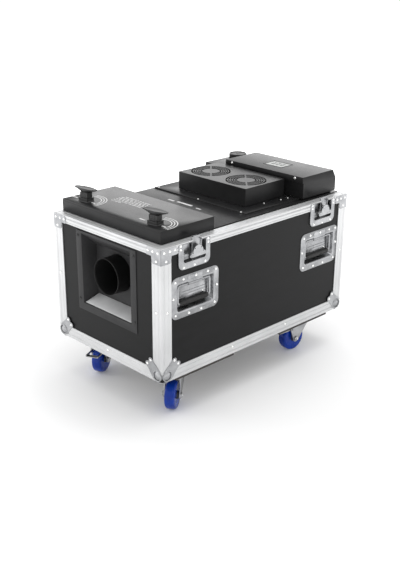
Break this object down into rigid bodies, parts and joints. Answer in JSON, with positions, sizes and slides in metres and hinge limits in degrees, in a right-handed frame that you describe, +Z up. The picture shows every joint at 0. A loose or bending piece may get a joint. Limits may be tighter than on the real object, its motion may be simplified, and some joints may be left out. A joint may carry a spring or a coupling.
{
  "type": "fog machine",
  "caption": "Low-lying fog machine in a black flight case with aluminium edges, recessed handles, butterfly latches and blue swivel castors; round outlet duct in front.",
  "frame": {"origin": "on the floor under the centre of the whole object", "axes": "+Z up; -Y towards the fog outlet, so +Y runs along the case to the control box; +X to the right seen from the outlet end looking along +Y"},
  "size_m": [0.488, 0.818, 0.608],
  "materials": {
    "black_laminate": "satin black laminate on plywood",
    "edge_aluminium": "satin anodised extrusion",
    "castor_board_ply": "stained plywood",
    "bezel_paint": "matt dark grey paint",
    "duct_black": "matt black",
    "bare_steel": "bare sheet metal",
    "powder_coat": "fine textured dark powder coat",
    "tank_plastic": "natural moulded",
    "heater_aluminium": "as cast",
    "blue_tread": "glossy polyurethane",
    "zinc_steel": "zinc plated",
    "black_plastic": "moulded black plastic"
  },
  "bodies": {
    "case": {"front_panel": "black_laminate", "rear_panel": "black_laminate", "floor_panel": "black_laminate", "left_panel": "black_laminate", "right_panel": "black_laminate", "lower_edge_frame": "edge_aluminium", "top_rim_frame": "edge_aluminium", "castor_board_front": "castor_board_ply", "castor_board_rear": "castor_board_ply", "outlet_recess": "bezel_paint", "drip_tray": "bare_steel", "outlet_duct": "duct_black", "front_cover": "powder_coat", "deck": "powder_coat", "fan_cover": "powder_coat", "control_box": "powder_coat", "tank_housing": "powder_coat", "mist_tank": "black_plastic", "fluid_tank": "tank_plastic", "fog_heater": "heater_aluminium", "fluid_pump": "black_plastic", "handle_dish_front_right": "zinc_steel", "latch_dish_front_right": "zinc_steel", "handle_dish_front_left": "zinc_steel", "latch_dish_front_left": "zinc_steel", "handle_dish_rear_right": "zinc_steel", "latch_dish_rear_right": "zinc_steel", "handle_dish_rear_left": "zinc_steel", "latch_dish_rear_left": "zinc_steel"},
    "castor_fork_front_right": {"castor_fork_front_right": "zinc_steel"},
    "castor_wheel_front_right": {"castor_wheel_front_right": "blue_tread"},
    "castor_fork_front_left": {"castor_fork_front_left": "zinc_steel"},
    "castor_wheel_front_left": {"castor_wheel_front_left": "blue_tread"},
    "brake_pedal_front_left": {"brake_pedal_front_left": "zinc_steel"},
    "castor_fork_rear_right": {"castor_fork_rear_right": "zinc_steel"},
    "castor_wheel_rear_right": {"castor_wheel_rear_right": "blue_tread"},
    "brake_pedal_rear_right": {"brake_pedal_rear_right": "zinc_steel"},
    "castor_fork_rear_left": {"castor_fork_rear_left": "zinc_steel"},
    "castor_wheel_rear_left": {"castor_wheel_rear_left": "blue_tread"},
    "handle_bail_front_right": {"handle_bail_front_right": "zinc_steel"},
    "latch_wing_front_right": {"latch_wing_front_right": "zinc_steel"},
    "latch_hook_front_right": {"latch_hook_front_right": "zinc_steel"},
    "handle_bail_front_left": {"handle_bail_front_left": "zinc_steel"},
    "latch_wing_front_left": {"latch_wing_front_left": "zinc_steel"},
    "latch_hook_front_left": {"latch_hook_front_left": "zinc_steel"},
    "handle_bail_rear_right": {"handle_bail_rear_right": "zinc_steel"},
    "latch_wing_rear_right": {"latch_wing_rear_right": "zinc_steel"},
    "latch_hook_rear_right": {"latch_hook_rear_right": "zinc_steel"},
    "handle_bail_rear_left": {"handle_bail_rear_left": "zinc_steel"},
    "latch_wing_rear_left": {"latch_wing_rear_left": "zinc_steel"},
    "latch_hook_rear_left": {"latch_hook_rear_left": "zinc_steel"},
    "filler_cap_left": {"filler_cap_left": "black_plastic"},
    "filler_cap_right": {"filler_cap_right": "black_plastic"},
    "tank_cap": {"tank_cap": "black_plastic"},
    "fan_rotor_left": {"fan_rotor_left": "black_plastic"},
    "fan_rotor_right": {"fan_rotor_right": "black_plastic"},
    "menu_button_1": {"menu_button_1": "black_plastic"},
    "menu_button_2": {"menu_button_2": "black_plastic"},
    "menu_button_3": {"menu_button_3": "black_plastic"},
    "menu_button_4": {"menu_button_4": "black_plastic"}
  },
  "joints": [
    {"name": "castor_swivel_front_right", "type": "hinge", "parent": "case", "child": "castor_fork_front_right", "pos_m": [0.165, -0.285, 0.118], "axis": [0, 0, 1], "continuous": true},
    {"name": "wheel_spin_front_right", "type": "hinge", "parent": "castor_fork_front_right", "child": "castor_wheel_front_right", "pos_m": [0.18461, -0.31519, 0.045], "axis": [0.8387, 0.5446, 0], "continuous": true},
    {"name": "castor_swivel_front_left", "type": "hinge", "parent": "case", "child": "castor_fork_front_left", "pos_m": [-0.165, -0.285, 0.118], "axis": [0, 0, 1], "continuous": true},
    {"name": "wheel_spin_front_left", "type": "hinge", "parent": "castor_fork_front_left", "child": "castor_wheel_front_left", "pos_m": [-0.14866, -0.31708, 0.045], "axis": [0.891, 0.454, 0], "continuous": true},
    {"name": "brake_pedal_front_left", "type": "hinge", "parent": "castor_fork_front_left", "child": "brake_pedal_front_left", "pos_m": [-0.14048, -0.33311, 0.08], "axis": [0.891, 0.454, 0], "range_deg": [0, 15]},
    {"name": "castor_swivel_rear_right", "type": "hinge", "parent": "case", "child": "castor_fork_rear_right", "pos_m": [0.165, 0.285, 0.118], "axis": [0, 0, 1], "continuous": true},
    {"name": "wheel_spin_rear_right", "type": "hinge", "parent": "castor_fork_rear_right", "child": "castor_wheel_rear_right", "pos_m": [0.16186, 0.24914, 0.045], "axis": [0.9962, -0.0872, 0], "continuous": true},
    {"name": "brake_pedal_rear_right", "type": "hinge", "parent": "castor_fork_rear_right", "child": "brake_pedal_rear_right", "pos_m": [0.16029, 0.23121, 0.08], "axis": [0.9962, -0.0872, 0], "range_deg": [0, 15]},
    {"name": "castor_swivel_rear_left", "type": "hinge", "parent": "case", "child": "castor_fork_rear_left", "pos_m": [-0.165, 0.285, 0.118], "axis": [0, 0, 1], "continuous": true},
    {"name": "wheel_spin_rear_left", "type": "hinge", "parent": "castor_fork_rear_left", "child": "castor_wheel_rear_left", "pos_m": [-0.17731, 0.25117, 0.045], "axis": [0.9397, -0.342, 0], "continuous": true},
    {"name": "handle_front_right", "type": "hinge", "parent": "case", "child": "handle_bail_front_right", "pos_m": [0.2315, -0.275, 0.405], "axis": [0, -1, 0], "range_deg": [0, 90], "stiffness_Nm_per_rad": 0.3},
    {"name": "latch_turn_front_right", "type": "hinge", "parent": "case", "child": "latch_wing_front_right", "pos_m": [0.2418, -0.269, 0.497], "axis": [1, 0, 0], "range_deg": [0, 180]},
    {"name": "latch_hook_front_right", "type": "slide", "parent": "case", "child": "latch_hook_front_right", "axis": [0, 0, 1], "range_m": [0, 0.012]},
    {"name": "handle_front_left", "type": "hinge", "parent": "case", "child": "handle_bail_front_left", "pos_m": [-0.2315, -0.275, 0.405], "axis": [0, 1, 0], "range_deg": [0, 90], "stiffness_Nm_per_rad": 0.3},
    {"name": "latch_turn_front_left", "type": "hinge", "parent": "case", "child": "latch_wing_front_left", "pos_m": [-0.2418, -0.269, 0.497], "axis": [1, 0, 0], "range_deg": [0, 180]},
    {"name": "latch_hook_front_left", "type": "slide", "parent": "case", "child": "latch_hook_front_left", "axis": [0, 0, 1], "range_m": [0, 0.012]},
    {"name": "handle_rear_right", "type": "hinge", "parent": "case", "child": "handle_bail_rear_right", "pos_m": [0.2315, 0.275, 0.405], "axis": [0, -1, 0], "range_deg": [0, 90], "stiffness_Nm_per_rad": 0.3},
    {"name": "latch_turn_rear_right", "type": "hinge", "parent": "case", "child": "latch_wing_rear_right", "pos_m": [0.2418, 0.293, 0.497], "axis": [1, 0, 0], "range_deg": [0, 180]},
    {"name": "latch_hook_rear_right", "type": "slide", "parent": "case", "child": "latch_hook_rear_right", "axis": [0, 0, 1], "range_m": [0, 0.012]},
    {"name": "handle_rear_left", "type": "hinge", "parent": "case", "child": "handle_bail_rear_left", "pos_m": [-0.2315, 0.275, 0.405], "axis": [0, 1, 0], "range_deg": [0, 90], "stiffness_Nm_per_rad": 0.3},
    {"name": "latch_turn_rear_left", "type": "hinge", "parent": "case", "child": "latch_wing_rear_left", "pos_m": [-0.2418, 0.293, 0.497], "axis": [1, 0, 0], "range_deg": [0, 180]},
    {"name": "latch_hook_rear_left", "type": "slide", "parent": "case", "child": "latch_hook_rear_left", "axis": [0, 0, 1], "range_m": [0, 0.012]},
    {"name": "filler_turn_left", "type": "hinge", "parent": "case", "child": "filler_cap_left", "pos_m": [-0.161, -0.341, 0.579], "axis": [0, 0, 1], "range_deg": [0, 90]},
    {"name": "filler_turn_right", "type": "hinge", "parent": "case", "child": "filler_cap_right", "pos_m": [0.148, -0.341, 0.579], "axis": [0, 0, 1], "range_deg": [0, 90]},
    {"name": "tank_cap_lift", "type": "slide", "parent": "case", "child": "tank_cap", "axis": [0, 0, 1], "range_m": [0, 0.04]},
    {"name": "fan_spin_left", "type": "hinge", "parent": "case", "child": "fan_rotor_left", "pos_m": [-0.0905, 0.1115, 0.575], "axis": [0, 0, 1], "continuous": true},
    {"name": "fan_spin_right", "type": "hinge", "parent": "case", "child": "fan_rotor_right", "pos_m": [0.0645, 0.1115, 0.575], "axis": [0, 0, 1], "continuous": true},
    {"name": "menu_button_1_press", "type": "slide", "parent": "case", "child": "menu_button_1", "axis": [0, -1, 0], "range_m": [0, 0.0015], "stiffness_N_per_m": 400},
    {"name": "menu_button_2_press", "type": "slide", "parent": "case", "child": "menu_button_2", "axis": [0, -1, 0], "range_m": [0, 0.0015], "stiffness_N_per_m": 400},
    {"name": "menu_button_3_press", "type": "slide", "parent": "case", "child": "menu_button_3", "axis": [0, -1, 0], "range_m": [0, 0.0015], "stiffness_N_per_m": 400},
    {"name": "menu_button_4_press", "type": "slide", "parent": "case", "child": "menu_button_4", "axis": [0, -1, 0], "range_m": [0, 0.0015], "stiffness_N_per_m": 400}
  ],
  "couplings": [
    {"joint": "latch_turn_front_right", "follows": "latch_hook_front_right", "rad_per_m": 261.79},
    {"joint": "latch_turn_front_left", "follows": "latch_hook_front_left", "rad_per_m": 261.79},
    {"joint": "latch_turn_rear_right", "follows": "latch_hook_rear_right", "rad_per_m": 261.79},
    {"joint": "latch_turn_rear_left", "follows": "latch_hook_rear_left", "rad_per_m": 261.79}
  ]
}
